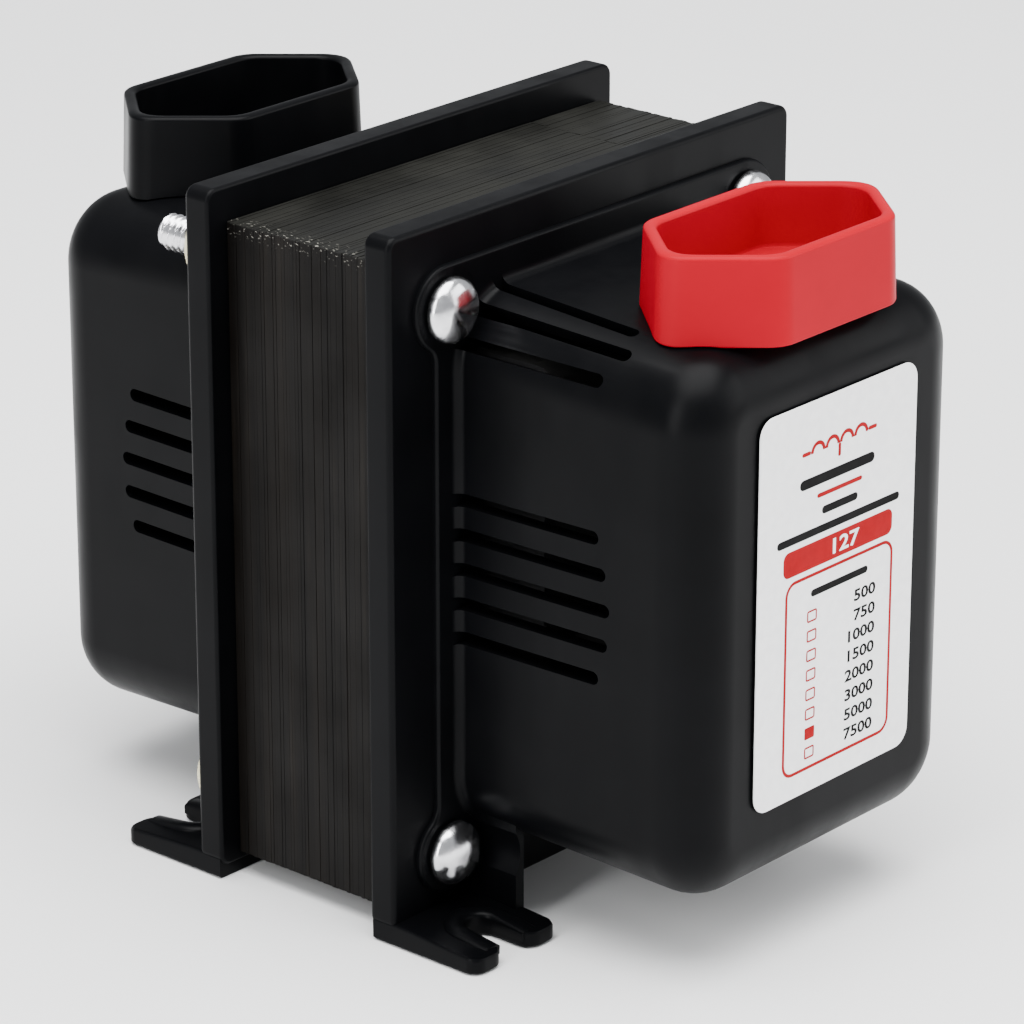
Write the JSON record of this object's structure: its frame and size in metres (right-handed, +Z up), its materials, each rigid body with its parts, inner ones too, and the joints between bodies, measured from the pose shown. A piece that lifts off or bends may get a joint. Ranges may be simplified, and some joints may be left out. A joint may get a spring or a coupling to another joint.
{
  "type": "plug-in autotransformer",
  "caption": "Fixed-ratio plug-in autotransformer: laminated core between two moulded end covers, each with a hexagonal mains socket on top and slotted feet.",
  "frame": {"origin": "on the underside of the feet, below the middle of the lamination stack", "axes": "+Z up; Y along the clamping bolts, with the labelled front cover and its red socket towards -Y; X across the width"},
  "size_m": [0.076, 0.1097, 0.0914],
  "materials": {
    "black_plastic": "satin moulded",
    "red_plastic": "semi-gloss moulded",
    "lamination_steel": "varnished lamination edges",
    "chrome": "polished",
    "zinc": "yellow zinc",
    "brass": "plain",
    "copper": "enamelled wire",
    "nylon": "satin",
    "black_nylon": "satin",
    "insulation_paper": "matt paper",
    "tape": "polyester film",
    "label_film": "printed film",
    "black_wire": "PVC",
    "blue_wire": "PVC",
    "green_wire": "PVC"
  },
  "bodies": {
    "root": {"e_lamination_stack": "lamination_steel", "i_lamination_stack": "lamination_steel", "coil_bobbin": "black_nylon", "common_winding": "copper", "series_winding": "copper", "interlayer_insulation": "insulation_paper", "outer_tape_wrap": "tape", "front_cover": "black_plastic", "front_socket_housing": "red_plastic", "front_contact_carrier": "nylon", "front_line_contact": "brass", "front_neutral_contact": "brass", "front_earth_contact": "brass", "front_line_lead": "black_wire", "front_neutral_lead": "blue_wire", "front_earth_lead": "green_wire", "front_earth_lug": "brass", "rear_cover": "black_plastic", "rear_socket_housing": "black_plastic", "rear_contact_carrier": "nylon", "rear_line_contact": "brass", "rear_neutral_contact": "brass", "rear_earth_contact": "brass", "rear_line_lead": "black_wire", "rear_neutral_lead": "blue_wire", "rear_earth_lead": "green_wire", "rear_earth_lug": "brass", "thermal_protector": "black_wire", "rating_label": "label_film", "upper_left_bolt": "chrome", "upper_left_washer": "zinc", "upper_left_nut": "zinc", "upper_right_bolt": "chrome", "upper_right_washer": "zinc", "upper_right_nut": "zinc", "lower_left_bolt": "chrome", "lower_left_washer": "zinc", "lower_left_nut": "zinc", "lower_right_bolt": "chrome", "lower_right_washer": "zinc", "lower_right_nut": "zinc"}
  },
  "joints": []
}
